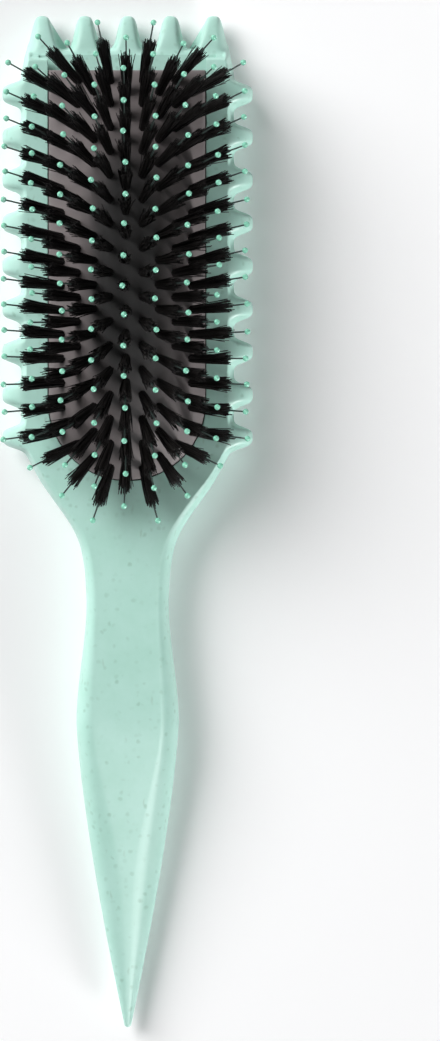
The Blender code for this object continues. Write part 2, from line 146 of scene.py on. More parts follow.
wobble = add_node(
    mint_plastic, "ShaderNodeTexNoise", {"Scale": per_size(SPECK_SPACING), "Detail": 1.0}, {"Vector": place},
)
bent_place = add_node(
    mint_plastic, "ShaderNodeMix",
    {"data_type": "VECTOR", "Factor": SPECK_WOBBLE}, {"A": place, "B": wobble.outputs["Color"]},
).outputs[1]
specks = add_node(
    mint_plastic, "ShaderNodeTexVoronoi", {"Scale": per_size(SPECK_SPACING)}, {"Vector": bent_place},
)
speck_shape = add_node(
    mint_plastic, "ShaderNodeMapRange",
    {"From Min": SPECK_CORE_SHARE, "From Max": SPECK_EDGE_SHARE, "To Min": 1.0, "To Max": 0.0},
    {"Value": specks.outputs["Distance"]},
)
chosen = add_node(
    mint_plastic, "ShaderNodeMapRange",
    {"From Min": SPECK_THRESHOLD, "From Max": 1.0, "To Min": 0.0, "To Max": 1.0},
    {"Value": specks.outputs["Color"]},
)
speck_mask = add_node(
    mint_plastic, "ShaderNodeMath", {"operation": "MULTIPLY"},
    {0: speck_shape.outputs[0], 1: chosen.outputs[0]},
)
print("specks about every", SPECK_SPACING * 1000, "mm")

# %% Straw fibres
FIBRE_SPACING = 0.0031
FIBRE_STRETCH = 0.3
FIBRE_TURN = 0.35
FIBRE_CORE_SHARE = 0.05
FIBRE_EDGE_SHARE = 0.14
FIBRE_STRENGTH = 0.7

fibre_place = add_node(
    mint_plastic, "ShaderNodeMapping",
    {"Scale": (1.0, FIBRE_STRETCH, 1.0), "Rotation": (0.0, 0.0, FIBRE_TURN)}, {"Vector": bent_place},
)
fibres = add_node(
    mint_plastic, "ShaderNodeTexVoronoi",
    {"Scale": per_size(FIBRE_SPACING)}, {"Vector": fibre_place.outputs[0]},
)
fibre_mask = add_node(
    mint_plastic, "ShaderNodeMapRange",
    {
        "From Min": FIBRE_CORE_SHARE, "From Max": FIBRE_EDGE_SHARE,
        "To Min": FIBRE_STRENGTH, "To Max": 0.0,
    },
    {"Value": fibres.outputs["Distance"]},
)
print("fibres about every", FIBRE_SPACING * 1000, "mm, stretched", round(1 / FIBRE_STRETCH, 1), "times")

# %% Mint colour, satin gloss and grain
MOULD_GRAIN = 0.00028
MOULD_GRAIN_DEPTH = 0.00005

clouded = add_node(
    mint_plastic, "ShaderNodeMix",
    {"data_type": "RGBA", "A": linear("A7D6C6"), "B": linear("BFE6DC")},
    {"Factor": clouds.outputs["Fac"]},
).outputs[2]
with_fibres = add_node(
    mint_plastic, "ShaderNodeMix",
    {"data_type": "RGBA", "B": linear("A6CEBF")}, {"Factor": fibre_mask.outputs[0], "A": clouded},
).outputs[2]
with_specks = add_node(
    mint_plastic, "ShaderNodeMix",
    {"data_type": "RGBA", "B": linear("9CC8B8")}, {"Factor": speck_mask.outputs[0], "A": with_fibres},
).outputs[2]
satin = add_node(
    mint_plastic, "ShaderNodeMapRange",
    {"To Min": 0.3, "To Max": 0.38}, {"Value": clouds.outputs["Fac"]},
)
grain = add_node(
    mint_plastic, "ShaderNodeTexNoise", {"Scale": per_size(MOULD_GRAIN), "Detail": 2.0}, {"Vector": place},
)
grain_bump = add_node(
    mint_plastic, "ShaderNodeBump", {"Strength": 0.12, "Distance": MOULD_GRAIN_DEPTH},
    {"Height": grain.outputs["Fac"]},
)
mint_plastic.node_tree.links.new(with_specks, shader.inputs["Base Color"])
mint_plastic.node_tree.links.new(satin.outputs[0], shader.inputs["Roughness"])
mint_plastic.node_tree.links.new(grain_bump.outputs[0], shader.inputs["Normal"])
print("made", mint_plastic.name)

# %% [markdown]
# ## The frame's outline
# Seen from the front, the frame has nine blunt teeth down each side, five fingers at the end, a flare into
# a narrow neck, a belly, and a long taper to a parting tip. It could be drawn by hand as a curve, but then
# no two teeth would be quite alike. Here a wave makes them and short formulas the rest, so one number
# changes every tooth. The outline is worked out for the right half and mirrored. Each station holds one
# point of the rim, and the edges of the flat front and back that the rim rounds over to. Its sag says how
# much sooner the front drops away between two teeth, so that each tooth stands out as a round nub. The
# numbers are the CAD model's, with finer steps between them. Three things differ. The tail's flat front
# fades to a ridge more slowly, as the long gleam on the real one shows. The last tooth runs straight into
# the flare, with no valley between. The back's flat part ends above the first side station, so that the
# back doesn't fold over itself there.

# %% Sizes of the frame
FRAME_FLOOR = 0.008
TRAY_TOP = 0.0103
RAIL_BOTTOM = 0.0106
FRAME_TOP = 0.0124
DECK_TOP = 0.0078
CUSHION_HALF = 0.0191
CUSHION_END_Y = 0.0502
ROUND_END_Y = CUSHION_HALF - CUSHION_END_Y
TRAY_HALF = 0.0215
CHANNEL_GAP = 0.0003
FACE_HALF = 0.0245
VALLEY_HALF = 0.0262
LAST_VALLEY_Y = -0.0451
TOOTH_SAG = 1.5
SIDE_TEETH = 9
TOOTH_PITCH = (CUSHION_END_Y - LAST_VALLEY_Y) / SIDE_TEETH
TOOTH_DEPTH = 0.0047
TOOTH_BLUNTNESS = 2.0
TOOTH_STEPS = 24
LAST_TOOTH_POWER = 1.5
FACE_TOP_Y = 0.0548
FINGER_ROOT_Y = 0.0565
FINGER_LENGTH = 0.0081
FINGER_BLUNTNESS = 1.9
FINGERS = 5
CORNER_X = 0.0248
CORNER_TURN_SHARE = 0.345
FINGER_PITCH = CORNER_X / ((FINGERS - 1) / 2 + CORNER_TURN_SHARE)
CORNER_STEPS = 20
DECK_RAMP_SHARE = 0.5
BORDER_ROUNDING = 0.0017
BACK_FLAT_SHARE = 0.58
BACK_TOP_INSET = 0.004
RIM_HEIGHT_SHARE = 0.5
print("pitch of teeth", round(TOOTH_PITCH * 1000, 2), "mm, of fingers", round(FINGER_PITCH * 1000, 2), "mm")

# %% Sizes of the handle
FLARE_LENGTH = 0.0349
FLARE_ROUNDING_SHARE = 0.3
NECK_HALF = 0.0101
NECK_Y = LAST_VALLEY_Y - FLARE_LENGTH
NECK_TO_BELLY = 0.030
BELLY_HALF = 0.0126
BELLY_Y = NECK_Y - NECK_TO_BELLY
TAIL_LENGTH = 0.0755
TAIL_POWER = 1.35
TIP_HALF = 0.0009
HANDLE_THICKNESS = 0.013
NECK_ROUNDING = 0.0028
BELLY_ROUNDING = 0.0045
TIP_THICKNESS = 0.0022
TAIL_LIFT = 0.003
TAIL_LIFT_POWER = 2.2
TAIL_FACE_SHARE = 0.12
TAIL_FACE_FADE_SHARE = 0.7
FLARE_STEPS = 30
BELLY_STEPS = 18
TAIL_STEPS = 44
TIP_STEPS = 6
FLARE_SHARES = (
    (0.0, 0.89), (0.05, 0.83), (0.16, 0.70), (0.275, 0.53), (0.39, 0.35),
    (0.50, 0.20), (0.61, 0.10), (0.78, 0.03), (1.0, 0.0),
)
print("a handle", round((LAST_VALLEY_Y - BELLY_Y + TAIL_LENGTH) * 1000, 1), "mm long with its flare")


# %% Curves that the outline follows
def between(start, end, share):
    return start + (end - start) * share


def smooth(share):
    """0 to 1 with a level start and end."""
    share = min(1.0, max(0.0, share))
    return share * share * (3 - 2 * share)


def flare_share(at):
    """A smooth curve through the table of the flare: at each entry it keeps the mean slope of its sides."""
    for i, ((low, first), (high, second)) in enumerate(zip(FLARE_SHARES, FLARE_SHARES[1:])):
        if at > high:
            continue
        before = FLARE_SHARES[max(0, i - 1)]
        after = FLARE_SHARES[min(len(FLARE_SHARES) - 1, i + 2)]
        slope_in = (second - before[1]) / (high - before[0])
        slope_out = (after[1] - first) / (after[0] - low)
        t = (at - low) / (high - low)
        width = high - low
        return (
            first * (2 * t ** 3 - 3 * t ** 2 + 1) + slope_in * width * (t ** 3 - 2 * t ** 2 + t)
            + second * (3 * t ** 2 - 2 * t ** 3) + slope_out * width * (t ** 3 - t ** 2)
        )
    return FLARE_SHARES[-1][1]


def tooth_wave(turns, bluntness):
    """1 over a tooth's blunt tip, 0 in the round valley half a turn away."""
    return (1 + math.tanh(bluntness * math.cos(math.tau * turns)) / math.tanh(bluntness)) / 2


print("half way down,", round(flare_share(0.5) * 100), "% of the flare is left")

# %% Stations of the head
Station = namedtuple("Station", "rim face back rim_z face_z back_z sag")


def finger_stations():
    """From the middle finger's tip to the outside of the corner finger."""
    last = round(CORNER_X / FINGER_PITCH * TOOTH_STEPS)
    for step in range(last + 1):
        x = CORNER_X * step / last
        wave = tooth_wave(x / FINGER_PITCH, FINGER_BLUNTNESS)
        rim = (x, FINGER_ROOT_Y + FINGER_LENGTH * wave)
        face = (x * FACE_HALF / VALLEY_HALF, FACE_TOP_Y)
        back = (x * BACK_FLAT_SHARE, FACE_TOP_Y - BACK_TOP_INSET)
        sag = TOOTH_SAG * (1 - wave)
        yield Station(rim, face, back, DECK_TOP * RIM_HEIGHT_SHARE, DECK_TOP, 0, sag)


def side_stations():
    """Down the toothed side. Below its tip, the last tooth draws in and runs straight into the flare."""
    draw_in = (1 - FLARE_SHARES[0][1]) * (VALLEY_HALF - NECK_HALF)
    for step in range(SIDE_TEETH * TOOTH_STEPS + 1):
        turns = step / TOOTH_STEPS
        y = CUSHION_END_Y - turns * TOOTH_PITCH
        wave = tooth_wave(turns - 1 / 2, TOOTH_BLUNTNESS)
        below_last_tip = max(0, 1 - 2 * (SIDE_TEETH - turns))
        drawn = draw_in * below_last_tip ** LAST_TOOTH_POWER
        rim = (VALLEY_HALF - drawn + TOOTH_DEPTH * wave, y)
        face = (FACE_HALF - drawn, y)
        back = ((VALLEY_HALF - drawn) * BACK_FLAT_SHARE, y)
        sag = TOOTH_SAG * (1 - wave)
        yield Station(rim, face, back, FRAME_TOP * RIM_HEIGHT_SHARE, FRAME_TOP, 0, sag)


def corner_stations(above, below):
    """Between the corner finger and the first side tooth, where the deck climbs to the rails' height."""
    for step in range(1, CORNER_STEPS + 1):
        share = step / (CORNER_STEPS + 1)
        plan = [
            tuple(between(a, b, share) for a, b in zip(first, second))
            for first, second in zip(above[:3], below[:3])
        ]
        climb = smooth(share / DECK_RAMP_SHARE)
        rim_z = between(above.rim_z, below.rim_z, climb)
        face_z = between(above.face_z, below.face_z, climb)
        yield Station(*plan, rim_z, face_z, 0, between(above.sag, below.sag, share))


fingers = list(finger_stations())
sides = list(side_stations())
corners = list(corner_stations(fingers[-1], sides[0]))
print(len(fingers), "stations on the fingers,", len(sides), "on the side and", len(corners), "between")


# %% Stations of the handle
def handle_station(y, half, face_half, thickness, lift=0, sag=0):
    """A station whose rim, front and back lie straight across the handle."""
    rim_z = lift + thickness * RIM_HEIGHT_SHARE
    back = (half * BACK_FLAT_SHARE, y)
    return Station((half, y), (face_half, y), back, rim_z, lift + thickness, lift, sag)


def flare_and_belly_stations():
    """From just below the last valley, through the neck, to the widest place of the handle."""
    for step in range(1, FLARE_STEPS + 1):
        share = step / FLARE_STEPS
        half = between(NECK_HALF, VALLEY_HALF, flare_share(share))
        settled = smooth(share / FLARE_ROUNDING_SHARE)
        face_half = half - between(BORDER_ROUNDING, NECK_ROUNDING, settled)
        thickness = between(FRAME_TOP, HANDLE_THICKNESS, smooth(share))
        y = LAST_VALLEY_Y - share * FLARE_LENGTH
        yield handle_station(y, half, face_half, thickness, sag=TOOTH_SAG * (1 - settled))
    for step in range(1, BELLY_STEPS + 1):
        share = step / BELLY_STEPS
        half = between(NECK_HALF, BELLY_HALF, smooth(share))
        face_half = half - between(NECK_ROUNDING, BELLY_ROUNDING, smooth(share))
        yield handle_station(between(NECK_Y, BELLY_Y, share), half, face_half, HANDLE_THICKNESS)


def tail_stations():
    """The long taper, whose flat front fades to a rounded ridge, and the round point at its end."""
    for step in range(1, TAIL_STEPS + 1):
        share = step / TAIL_STEPS
        half = between(BELLY_HALF, TIP_HALF, share ** TAIL_POWER)
        thickness = between(HANDLE_THICKNESS, TIP_THICKNESS, share ** TAIL_POWER)
        flat = 1 - smooth(share / TAIL_FACE_FADE_SHARE)
        face_half = between(half * TAIL_FACE_SHARE, max(half - BELLY_ROUNDING, 0), flat)
        y = BELLY_Y - share * (TAIL_LENGTH - TIP_HALF)
        last = handle_station(y, half, face_half, thickness, TAIL_LIFT * share ** TAIL_LIFT_POWER)
        yield last
    for step in range(1, TIP_STEPS + 1):
        turn = math.pi / 2 * step / TIP_STEPS
        across = math.cos(turn) if step < TIP_STEPS else 0
        reach = TIP_HALF * math.sin(turn)
        yield last._replace(
            rim=(last.rim[0] * across, last.rim[1] - reach),
            face=(last.face[0] * across, last.face[1] - reach * TAIL_FACE_SHARE),
            back=(last.back[0] * across, last.back[1] - reach * BACK_FLAT_SHARE),
        )


stations = fingers + corners + sides + list(flare_and_belly_stations()) + list(tail_stations())
print(len(stations), "stations on each side")

# %% [markdown]
# ## The frame's blank
# On the real brush this is one hot-runner moulding. A flat slab with a Bevel modifier would come close, but
# it rounds every edge alike, and here the rounding changes all along the rim. So the rim is one closed
# ring of points. The ring is extruded step by step, and each new ring moves a little inwards and upwards
# along a quarter of an ellipse, which gives the round edge that a hand feels. The last ring is closed by
# bridging its right side to its left. The same is done downwards for the back.

# %% Places of the rings
ROUNDING_STEPS = 9


def ring_places(turn, to_front):
    """The closed ring at this turn: the rim at 0, a face's edge at a quarter turn. Right half, then left."""
    right = []
    for s in stations:
        inner, inner_z, sag = (s.face, s.face_z, s.sag) if to_front else (s.back, s.back_z, 0)
        x = between(inner[0], s.rim[0], math.cos(turn))
        y = between(inner[1], s.rim[1], math.cos(turn))
        right.append(Vector((x, y, between(s.rim_z, inner_z, math.sin(turn) ** (1 + sag)))))
    return right + [Vector((-p.x, p.y, p.z)) for p in reversed(right[1:-1])]


print("the rim is a ring of", len(ring_places(0, True)), "points")


# %% Grow rings from the rim
def grow_ring(mesh, edges, ring, places):
    """Extrudes a closed ring of edges and moves the new ring to its places."""
    made = bmesh.ops.extrude_edge_only(mesh, edges=edges)["geom"]
    new_verts = {part for part in made if isinstance(part, bmesh.types.BMVert)}
    copies = [
        next(edge.other_vert(vert) for edge in vert.link_edges if edge.other_vert(vert) in new_verts)
        for vert in ring
    ]
    for vert, place in zip(copies, places):
        vert.co = place
    new_edges = [part for part in made if isinstance(part, bmesh.types.BMEdge)]
    return [edge for edge in new_edges if set(edge.verts) <= new_verts], copies


def edges_along(verts):
    """The edges that join each vertex to the next one."""
    return [next(e for e in a.link_edges if e.other_vert(a) is b) for a, b in zip(verts, verts[1:])]


def close_across(mesh, ring):
    """Bridges the ring's right side to its left, and fills the two ends."""
    count = len(ring) // 2 + 1
    right = ring[:count]
    left = [ring[-i] for i in range(count)]
    first = len(fingers)
    bmesh.ops.bridge_loops(mesh, edges=edges_along(right[first:-1]) + edges_along(left[first:-1]))
    bmesh.ops.contextual_create(mesh, geom=right[:first + 1] + left[1:first + 1])
    bmesh.ops.contextual_create(mesh, geom=[right[-2], right[-1], left[-2]])


def frame_blank():
    """The frame before its channel is cut."""
    mesh = bmesh.new()
    places = ring_places(0, True)
    rim = bmesh.ops.create_circle(mesh, segments=len(places), radius=VALLEY_HALF)["verts"]
    for vert, place in zip(rim, places):
        vert.co = place
    rim_edges = list(mesh.edges)
    for to_front in (True, False):
        edges, ring = rim_edges, rim
        for step in range(1, ROUNDING_STEPS + 1):
            turn = math.pi / 2 * step / ROUNDING_STEPS
            edges, ring = grow_ring(mesh, edges, ring, ring_places(turn, to_front))
        close_across(mesh, ring)
    bmesh.ops.recalc_face_normals(mesh, faces=mesh.faces)
    return mesh


blank = frame_blank()
print(len(blank.faces), "faces on the blank")

# %% [markdown]
# ## The channel for the cartridge
# The cartridge slides in from the finger end and is held by two rails, so the channel is undercut: wide
# below for the tray's flanges, narrower above for the cushion. A sliding core leaves it in the mould. Here
# it could be inset and extruded, but a Boolean also finds the place where it breaks out at the fingers, so
# two U-shaped prisms are cut away from the blank. The mouth gets a small round lip afterwards, as moulded
# edges are never sharp. At the end the normals are weighted by the size of the faces, which keeps the
# large flat front looking flat right up to its rounded edge.

# %% Cut the channel
U_STEPS = 40
CUT_OVERRUN = 0.012


def u_prism(name, half, low, high):
    """A prism on a U-shaped outline: a half round about the cushion's round end, with straight sides."""
    mesh = bmesh.new()
    outline = bmesh.ops.create_circle(mesh, cap_ends=True, segments=U_STEPS + 3, radius=half)["verts"]
    turns = [math.pi * step / U_STEPS for step in range(U_STEPS + 1)]
    places = [(half * math.cos(turn), ROUND_END_Y - half * math.sin(turn)) for turn in turns]
    places += [(-half, FACE_TOP_Y + CUT_OVERRUN), (half, FACE_TOP_Y + CUT_OVERRUN)]
    for vert, (x, y) in zip(outline, places):
        vert.co = (x, y, low)
    made = bmesh.ops.extrude_face_region(mesh, geom=list(mesh.faces))["geom"]
    top = [part for part in made if isinstance(part, bmesh.types.BMVert)]
    bmesh.ops.translate(mesh, verts=top, vec=(0, 0, high - low))
    bmesh.ops.recalc_face_normals(mesh, faces=mesh.faces)
    data = bpy.data.meshes.new(name)
    mesh.to_mesh(data)
    mesh.free()
    cutter = bpy.data.objects.new(name, data)
    bpy.context.scene.collection.objects.link(cutter)
    return cutter


def cut_by(mesh, cutters):
    """The mesh after each cutter has been taken away, as a new bmesh."""
    data = bpy.data.meshes.new("blank")
    mesh.to_mesh(data)
    mesh.free()
    carrier = bpy.data.objects.new("blank", data)
    bpy.context.scene.collection.objects.link(carrier)
    for cutter in cutters:
        modifier = carrier.modifiers.new(cutter.name, "BOOLEAN")
        modifier.operation = "DIFFERENCE"
        modifier.solver = "EXACT"
        modifier.object = cutter
    cut = bmesh.new()
    cut.from_object(carrier, bpy.context.evaluated_depsgraph_get())
    for helper in [carrier, *cutters]:
        bpy.data.objects.remove(helper)
    return cut


undercut = u_prism("channel_undercut", TRAY_HALF + CHANNEL_GAP, FRAME_FLOOR, RAIL_BOTTOM)
mouth_low = (FRAME_FLOOR + RAIL_BOTTOM) / 2
mouth = u_prism("channel_mouth", CUSHION_HALF + CHANNEL_GAP, mouth_low, FRAME_TOP + CUT_OVERRUN)
moulding = cut_by(blank, [undercut, mouth])
print(len(moulding.faces), "faces once the channel is cut")

# %% Round the channel's lip
LIP_ROUNDING = 0.0002
LIP_STRAIGHT_TOLERANCE = 0.00002
LIP_ARC_TOLERANCE = 0.00004


def on_channel_lip(vert):
    """Whether a point lies on the edge between the front face and the channel's mouth."""
    half = CUSHION_HALF + CHANNEL_GAP
    if vert.co.z < RAIL_BOTTOM + CHANNEL_GAP:
        return False
    if vert.co.y > ROUND_END_Y:
        return abs(abs(vert.co.x) - half) < LIP_STRAIGHT_TOLERANCE
    return abs(math.hypot(vert.co.x, vert.co.y - ROUND_END_Y) - half) < LIP_ARC_TOLERANCE


lip = [edge for edge in moulding.edges if all(on_channel_lip(vert) for vert in edge.verts)]
bmesh.ops.bevel(
    moulding, geom=lip, offset=LIP_ROUNDING, segments=2, affect="EDGES", profile=0.5, material=-1,
)
print(len(lip), "edges on the channel's lip")
moulded_frame = finished(
    "moulded_frame", moulding, mint_plastic, "frame", ["frame_handle"],
)
flat_faces = moulded_frame.modifiers.new("flat_faces", "WEIGHTED_NORMAL")
flat_faces.keep_sharp = True

# %% [markdown]
# ## Cushion rubber
# The cushion is a moulded pad of charcoal rubber. Rubber has a dull, slightly greasy sheen and a fine
# leathery skin. A rough shader with a soft sheen and a fine bump shows these. Its colour holds painted
# light and shade. The lower flanks, which catch the lamps, are painted a lighter grey. The crown, which
# the crowded tufts shade, is painted dark. The height of a point chooses between them. A slow noise
# varies the flanks' grey and the roughness at random. The skin's real creases are finer than a pixel, so
# they are drawn at nearly half a millimetre.

# %% Charcoal rubber
RUBBER_SKIN = 0.00045
RUBBER_SKIN_DEPTH = 0.0001
RUBBER_MOTTLE_SIZE = 0.004
# Below the first height the rubber is painted in the lighter grey of lit flanks, and above the second in the
# painted shade of the crown.
FLANK_HEIGHT = 0.0185
CROWN_HEIGHT = 0.0208

cushion_rubber, shader = new_material(
    "moulded_charcoal_rubber", Metallic=0.0, IOR=1.5, Specular_IOR_Level=0.45, Sheen_Weight=0.25,
    Sheen_Roughness=0.45,
)
place = add_node(cushion_rubber, "ShaderNodeTexCoord").outputs["Object"]
rubber_mottle = add_node(
    cushion_rubber, "ShaderNodeTexNoise",
    {"Scale": per_size(RUBBER_MOTTLE_SIZE), "Detail": 4.0, "Roughness": 0.6}, {"Vector": place},
)
skin = add_node(
    cushion_rubber, "ShaderNodeTexNoise", {"Scale": per_size(RUBBER_SKIN), "Detail": 2.0}, {"Vector": place},
)
height = add_node(cushion_rubber, "ShaderNodeSeparateXYZ", {}, {"Vector": place}).outputs["Z"]
# Painted light and shade: 1 on the low flanks, which are painted as lit, down to 0 on the high crown, which
# is painted as shaded.
painted_flank_light = add_node(
    cushion_rubber, "ShaderNodeMapRange",
    {"From Min": FLANK_HEIGHT, "From Max": CROWN_HEIGHT, "To Min": 1.0, "To Max": 0.0}, {"Value": height},
)
# The flanks' painted light: a lighter grey where the lamps catch the dome's sides, varied at random by the
# mottle.
painted_flank_tone = add_node(
    cushion_rubber, "ShaderNodeMix",
    {"data_type": "RGBA", "A": linear("746C6C"), "B": linear("827A7A")}, {"Factor": rubber_mottle.outputs["Fac"]},
)
# Painted shade: the crown's dark grey stands for the tufts' shadow, and the height mask blends it into the
# flanks' painted light.
painted_shade_and_light = add_node(
    cushion_rubber, "ShaderNodeMix",
    {"data_type": "RGBA", "A": linear("333232")}, {"Factor": painted_flank_light.outputs[0], "B": painted_flank_tone.outputs[2]},
)
dull = add_node(
    cushion_rubber, "ShaderNodeMapRange", {"To Min": 0.5, "To Max": 0.68}, {"Value": rubber_mottle.outputs["Fac"]},
)
skin_bump = add_node(
    cushion_rubber, "ShaderNodeBump", {"Strength": 0.2, "Distance": RUBBER_SKIN_DEPTH},
    {"Height": skin.outputs["Fac"]},
)
cushion_rubber.node_tree.links.new(painted_shade_and_light.outputs[2], shader.inputs["Base Color"])
cushion_rubber.node_tree.links.new(dull.outputs[0], shader.inputs["Roughness"])
cushion_rubber.node_tree.links.new(skin_bump.outputs[0], shader.inputs["Normal"])
print("made", cushion_rubber.name)

# %% [markdown]
# ## The cushion
# The pad is one thin dome of rubber over an air chamber, straight-sided, square by the fingers and half
# round by the neck. A flattened ball would bulge at the sides, so a ring of points is laid out on that
# outline at the foot, grown up for the side and then inwards to the middle line, with every point raised
# to the dome's height. The edge above the side is rounded, and the whole sheet then gets its wall, which is
# thinner than the solid one's on its hidden side. Soft rubber fills its opening, so the outline is a tenth
# of a millimetre wider than the solid one, and the seam to the frame shows as a hairline.

# %% Sizes and height of the cushion
CUSHION_FOOT = TRAY_TOP + CHANNEL_GAP
CUSHION_SIDE_HEIGHT = 0.0022
CUSHION_EDGE = CUSHION_FOOT + CUSHION_SIDE_HEIGHT
CUSHION_RISE = 0.0086
CUSHION_ACROSS_POWER = 2.2
CUSHION_ALONG_POWER = 3.2
CUSHION_WALL = 0.0016
CUSHION_EDGE_ROUNDING = 0.0008
CUSHION_RINGS = 14
CUSHION_SWELL = 0.00012
MERGE_DISTANCE = 0.00002
STRAIGHT_STEPS = 56
END_STEPS = 24


def half_width(y, inset=0.0):
    """Half width of the cushion's outline at y, or of the same outline moved inwards by inset."""
    half = CUSHION_HALF - inset
    if y > CUSHION_END_Y - inset:
        return 0
    if y >= ROUND_END_Y:
        return half
    return math.sqrt(max(0, half ** 2 - (ROUND_END_Y - y) ** 2))


def cushion_top(x, y):
    """How high the rubber's outer face is over a point of the table."""
    half = half_width(y)
    crown = CUSHION_RISE * (1 - min(1, abs(y) / CUSHION_END_Y) ** CUSHION_ALONG_POWER)
    across = 1 - min(1, abs(x) / half) ** CUSHION_ACROSS_POWER if half else 0
    return CUSHION_EDGE + crown * across


def cushion_outline():
    """Points round the cushion: across the square end, down one side, round the neck end and up again."""
    half = CUSHION_HALF + CUSHION_SWELL
    right = [(half * step / END_STEPS, CUSHION_END_Y) for step in range(END_STEPS)]
    for step in range(STRAIGHT_STEPS):
        right.append((half, between(CUSHION_END_Y, ROUND_END_Y, step / STRAIGHT_STEPS)))
    for step in range(END_STEPS + 1):
        turn = math.pi / 2 * step / END_STEPS
        right.append((half * math.cos(turn), ROUND_END_Y - half * math.sin(turn)))
    right[-1] = (0, ROUND_END_Y - half)
    return right + [(-x, y) for x, y in reversed(right[1:-1])]


print("the crown is", round(cushion_top(0, 0) * 1000, 1), "mm above the table")


# %% Raise the dome
def cushion_mesh():
    mesh = bmesh.new()
    outline = cushion_outline()
    ring = bmesh.ops.create_circle(mesh, segments=len(outline), radius=CUSHION_HALF)["verts"]
    for vert, (x, y) in zip(ring, outline):
        vert.co = (x, y, CUSHION_FOOT)
    sides = [Vector((x, y, CUSHION_EDGE)) for x, y in outline]
    border, ring = grow_ring(mesh, list(mesh.edges), ring, sides)
    edges = border
    for step in range(1, CUSHION_RINGS + 1):
        share = step / CUSHION_RINGS
        places = []
        for x, y in outline:
            middle_y = min(CUSHION_END_Y - CUSHION_HALF, max(ROUND_END_Y, y))
            x, y = x * (1 - share), between(y, middle_y, share)
            places.append(Vector((x, y, cushion_top(x, y))))
        edges, ring = grow_ring(mesh, edges, ring, places)
    bmesh.ops.bevel(
        mesh, geom=border, offset=CUSHION_EDGE_ROUNDING, segments=3, affect="EDGES", profile=0.5,
        material=-1,
    )
    bmesh.ops.remove_doubles(mesh, verts=mesh.verts, dist=MERGE_DISTANCE)
    bmesh.ops.recalc_face_normals(mesh, faces=mesh.faces)
    bmesh.ops.solidify(mesh, geom=list(mesh.faces), thickness=CUSHION_WALL)
    return mesh


rows = sorted(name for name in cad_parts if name.startswith("bristle_row_"))
rubber_cushion = finished(
    "rubber_cushion", cushion_mesh(), cushion_rubber, "cartridge", rows,
)

# %% [markdown]
# ## Where the tufts stand and lean
# The tufts stand on a staggered grid, upright in the middle and leaning further outwards towards every
# edge, which makes the fan that lifts and parts the hair. Particles could scatter them over the dome, but a
# machine sets real tufts in even rows, so a loop over rows and columns places them. The small random part
# of each lean is drawn in the same order as in the CAD model, so each tuft here stands exactly where its
# simple CAD tuft stands.

# %% Places and directions of the tufts
TUFT_ROWS = 33
TUFT_END_MARGIN = 0.0029
TUFT_END_Y = CUSHION_END_Y - TUFT_END_MARGIN
ROW_PITCH = 2 * TUFT_END_Y / (TUFT_ROWS - 1)
COLUMN_PITCH = 0.00395
OUTER_COLUMN = 4
TUFT_EDGE_MARGIN = 0.0016
LEAN_ACROSS_DEG = 47
LEAN_NARROWING_POWER = 0.6
LEAN_ALONG_DEG = 50
LEAN_CUBIC_SHARE = 0.34
LEAN_MIDDLE_DEG = -2
LEAN_SIDE_EASING = 0.5
LEAN_SIDE_DEG = 8
LEAN_JITTER_DEG = 1.2
TUFT_SEED = 7


def lean(x, y, jitter):
    """Which way the tuft at this place points."""
    narrowing = (CUSHION_HALF / half_width(y)) ** LEAN_NARROWING_POWER
    across = LEAN_ACROSS_DEG * narrowing * x / (OUTER_COLUMN * COLUMN_PITCH)
    out = (x / (OUTER_COLUMN * COLUMN_PITCH)) ** 2
    along = y / CUSHION_END_Y
    along = LEAN_ALONG_DEG * ((1 - LEAN_CUBIC_SHARE) * along + LEAN_CUBIC_SHARE * along ** 3)
    along = along * (1 - LEAN_SIDE_EASING * out) + LEAN_SIDE_DEG * out + LEAN_MIDDLE_DEG
    across += jitter.uniform(-LEAN_JITTER_DEG, LEAN_JITTER_DEG)
    along += jitter.uniform(-LEAN_JITTER_DEG, LEAN_JITTER_DEG)
    return Vector((math.tan(math.radians(across)), math.tan(math.radians(along)), 1)).normalized()


def tuft_frames():
    """One matrix a tuft: its origin on the cushion, and its third axis along the tuft."""
    jitter = random.Random(TUFT_SEED)
    for row in range(TUFT_ROWS):
        y = row * ROW_PITCH - TUFT_END_Y
        for column in range(-OUTER_COLUMN, OUTER_COLUMN + 1):
            x = column * COLUMN_PITCH
            if column % 2 == row % 2 or abs(x) > half_width(y, TUFT_EDGE_MARGIN):
                continue
            along = lean(x, y, jitter)
            side = Vector((0, 1, 0)).cross(along).normalized()
            axes = Matrix((side, along.cross(side), along)).transposed()
            yield Matrix.Translation((x, y, cushion_top(x, y))) @ axes.to_4x4()


tufts = list(tuft_frames())
print(len(tufts), "tufts")

# %% [markdown]
# ## Bristles
# The bristle is black nylon, extruded as a filament, cut, and end-rounded by grinding, so it is smooth
# with a narrow gloss. A tuft holds nearly ninety filaments, folded over a staple in one hole. Hair curves
# could draw them, but a mesh can be exported and measured anywhere. Each filament is a three-sided rod,
# with one bend and a thinner tip, because there are thousands. Ten different tufts are made, and each
# place takes one of them, turned by its own angle, so that neighbours look unlike. A noise with patches
# about two filaments wide varies their shade.

# %% Black nylon filament
STRAND_SHADE_SIZE = 0.0005

black_nylon, shader = new_material(
    "black_nylon_filament", Metallic=0.0, IOR=1.53, Specular_IOR_Level=0.4, Roughness=0.46,
)
place = add_node(black_nylon, "ShaderNodeTexCoord").outputs["Object"]
strand_shade = add_node(
    black_nylon, "ShaderNodeTexNoise", {"Scale": per_size(STRAND_SHADE_SIZE), "Detail": 1.0},
    {"Vector": place},
)
strand_colour = add_node(
    black_nylon, "ShaderNodeMix",
    {"data_type": "RGBA", "A": linear("0D0C0C"), "B": linear("292625")},
    {"Factor": strand_shade.outputs["Fac"]},
)
black_nylon.node_tree.links.new(strand_colour.outputs[2], shader.inputs["Base Color"])
print("made", black_nylon.name)

# %% One filament
STRAND_RADIUS = 0.00013
STRAND_TIP_RADIUS = 0.0001
BEND_SHARE = 0.6


